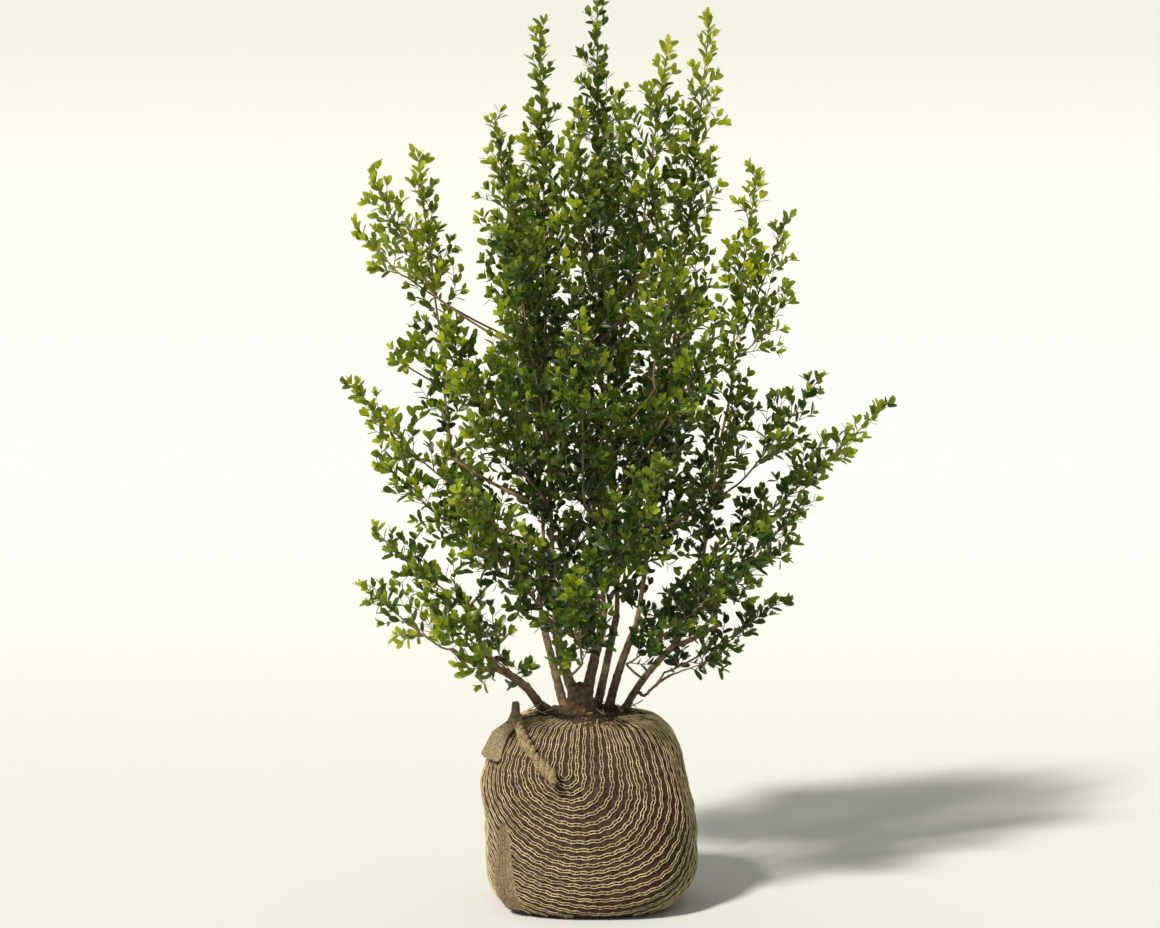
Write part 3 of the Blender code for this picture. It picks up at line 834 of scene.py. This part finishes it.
# A pleated pad: the CAD pad's outer face, with pleats as a sine across it that fade at its
# sides, and a back that meets the front there
def pleatedPad(node, piece):
    look = padLook
    points, _ = nodeShape(node)
    surface = nodeSurface(node)
    bearing = np.arctan2(points[:, 1], points[:, 0]) % fullTurn
    angles = np.linspace(bearing.min(), bearing.max(), look["rays"])
    low, high = points[:, 2].min() + look["inset"], points[:, 2].max() - look["inset"]
    share = np.linspace(0, 1, look["columns"])
    edge = np.sin(math.pi * share) ** 0.5
    grid = []
    for z in np.linspace(low, high, look["rows"]):
        seen, reach = padOutline(surface, angles, z)
        turn = seen[0] + (seen[-1] - seen[0]) * share
        slant = look["slant"] * (z - low) / (high - low)
        pleats = look["depth"] * edge * np.sin(share * look["pleats"] * anyTurn[1] + slant)
        radius = np.interp(turn, seen, reach) - look["edge"] * (1 - edge) + pleats
        grid.append(np.stack([radius * np.cos(turn), radius * np.sin(turn), np.full_like(radius, z)], -1))
    front = np.array(grid)
    for _ in range(look["smoothing"]):
        front[1:-1] = (front[:-2] + 2 * front[1:-1] + front[2:]) / 4
    back = front * (look["thickness"], look["thickness"], 1.0)
    back[:, [0, -1]] = front[:, [0, -1]]
    loop = np.concatenate([front, back[:, ::-1]], 1)
    quads = gridFaces(look["rows"], 2 * look["columns"])
    cloth = finish(piece, (0.260, 0.200, 0.115), 0.9, mottle=0.55, grain=0.0022, specular=0.1)
    addPiece(piece, loop.reshape(-1, 3), quads, cloth, "netting", [node])


pleatedPad("wrap_flap", "net_flap")
pleatedPad("wrap_fold", "net_fold")

# Soil in the net's mouth, lumpy, with straws lying on it
soilLook = {
    "radius": 0.088,
    "middle": 0.2535,
    "edge": 0.2450,
    "dome": 2.6,  # how soon the middle's height is reached
    "rows": 60,
    "columns": 160,
    "inner": 0.02,
    "lumps": 0.0024,
    "grains": ((1.0, 0.020, 21), (0.6, 0.007, 22), (0.3, 0.003, 23)),  # share, wavelength and seed
    "calmEdge": 12.0,
    "straws": 26,
    "strawFrom": (0.026, 0.078),
    "strawHeight": 0.2545,
    "strawRise": (-0.1, 0.35),
    "strawLength": (0.012, 0.032),
    "strawRadius": 0.0008,
    "strawStations": 5,
    "strawSides": 6,
}
turn, share = np.meshgrid(turnsOf(soilLook["columns"]), np.linspace(1, soilLook["inner"], soilLook["rows"]))
reach = soilLook["radius"] * share
dome = (soilLook["middle"] - soilLook["edge"]) * np.clip((1 - share) * soilLook["dome"], 0, 1)
points = np.stack([reach * np.cos(turn), reach * np.sin(turn), soilLook["edge"] + dome], -1)
rough = sum(part * waves(points, grain, seed) for part, grain, seed in soilLook["grains"])
points[..., 2] += soilLook["lumps"] * rough * np.clip((1 - share) * soilLook["calmEdge"], 0, 1)
soilFinish = finish("soil", (0.075, 0.048, 0.030), 0.98, mottle=0.6, grain=0.004, specular=0.05)
addPiece("soil", points.reshape(-1, 3), gridFaces(*reach.shape), soilFinish, "soil", ["soil_top"])


# One straw: a short straight line from a random place on the soil
def strawLine():
    bearing, far = rng.uniform(*anyTurn), rng.uniform(*soilLook["strawFrom"])
    start = np.array([far * math.cos(bearing), far * math.sin(bearing), soilLook["strawHeight"]])
    way = unit(np.array([*rng.normal(0, 1, 2), rng.uniform(*soilLook["strawRise"])]))
    length = rng.uniform(*soilLook["strawLength"])
    return start + way * np.linspace(0, length, soilLook["strawStations"])[:, None]


strawLines = np.array([strawLine() for _ in range(soilLook["straws"])])
strawRadii = np.full(strawLines.shape[:2], soilLook["strawRadius"])
strawFinish = finish("straw", (0.520, 0.420, 0.240), 0.7)
addPiece("straws", *rods(strawLines, strawRadii, soilLook["strawSides"]), strawFinish, "soil")

# Floor and backdrop in one sweep, a soft key from the upper left and a plain surround
stageLook = {
    "near": -5.0,
    "far": 2.6,
    "curve": 1.6,  # radius of the bend between floor and backdrop
    "curvePoints": 24,
    "high": 5.0,
    "half": 7.0,
    "below": -0.0005,
    "colour": (0.745, 0.745, 0.715),
    "world": (1.0, 0.995, 0.98, 1.0),
    "worldStrength": 0.28,
    "keyStrength": 3.8,
    "keyAngle": 7.0,
    "keyColour": (1.0, 0.965, 0.88),
    "keyWay": (0.50, 0.62, -0.78),
}
bend = np.linspace(0, math.pi / 2, stageLook["curvePoints"])
sweepY = stageLook["far"] + stageLook["curve"] * np.sin(bend)
sweepZ = stageLook["curve"] * (1 - np.cos(bend))
sweepY = np.concatenate([[stageLook["near"]], sweepY, sweepY[-1:]])
sweepZ = np.concatenate([[0.0], sweepZ, [stageLook["high"]]])
sides = (-stageLook["half"], stageLook["half"])
sweep = np.stack([np.stack([np.full_like(sweepY, side), sweepY, sweepZ], -1) for side in sides], 1)
mesh = bpy.data.meshes.new("sweep")
mesh.from_pydata(sweep.reshape(-1, 3).tolist(), [], gridFaces(len(sweepY), 2, ring=False).tolist())
mesh.shade_smooth()
mesh.materials.append(finish("paper", stageLook["colour"], 1.0, specular=0.0))
floor = bpy.data.objects.new("floor", mesh)
floor.location.z = stageLook["below"]
bpy.context.scene.collection.objects.link(floor)

key = bpy.data.lights.new("key", "SUN")
key.energy = stageLook["keyStrength"]
key.angle = math.radians(stageLook["keyAngle"])
key.color = stageLook["keyColour"]
keyObject = bpy.data.objects.new("key", key)
keyObject.rotation_euler = Vector(stageLook["keyWay"]).to_track_quat("-Z", "Y").to_euler()
bpy.context.scene.collection.objects.link(keyObject)

world = bpy.data.worlds.new("surround")
world.use_nodes = True
background = world.node_tree.nodes["Background"]
background.inputs["Color"].default_value = stageLook["world"]
background.inputs["Strength"].default_value = stageLook["worldStrength"]
bpy.context.scene.world = world
bpy.context.scene.view_settings.view_transform = "Standard"

# Camera where the photograph's was, worked out from the ball's and the plant's sizes
cameraLook = {"place": (-0.008, -3.3, 0.80), "down": 3.80, "lens": 78.05, "sensor": 36.0}
camera = bpy.data.cameras.new("camera")
camera.lens = cameraLook["lens"]
camera.sensor_width = cameraLook["sensor"]
cameraObject = bpy.data.objects.new("camera", camera)
cameraObject.location = cameraLook["place"]
cameraObject.rotation_euler = (math.radians(90 - cameraLook["down"]), 0.0, 0.0)
bpy.context.scene.collection.objects.link(cameraObject)
bpy.context.scene.camera = cameraObject
print("stage, key and camera placed")
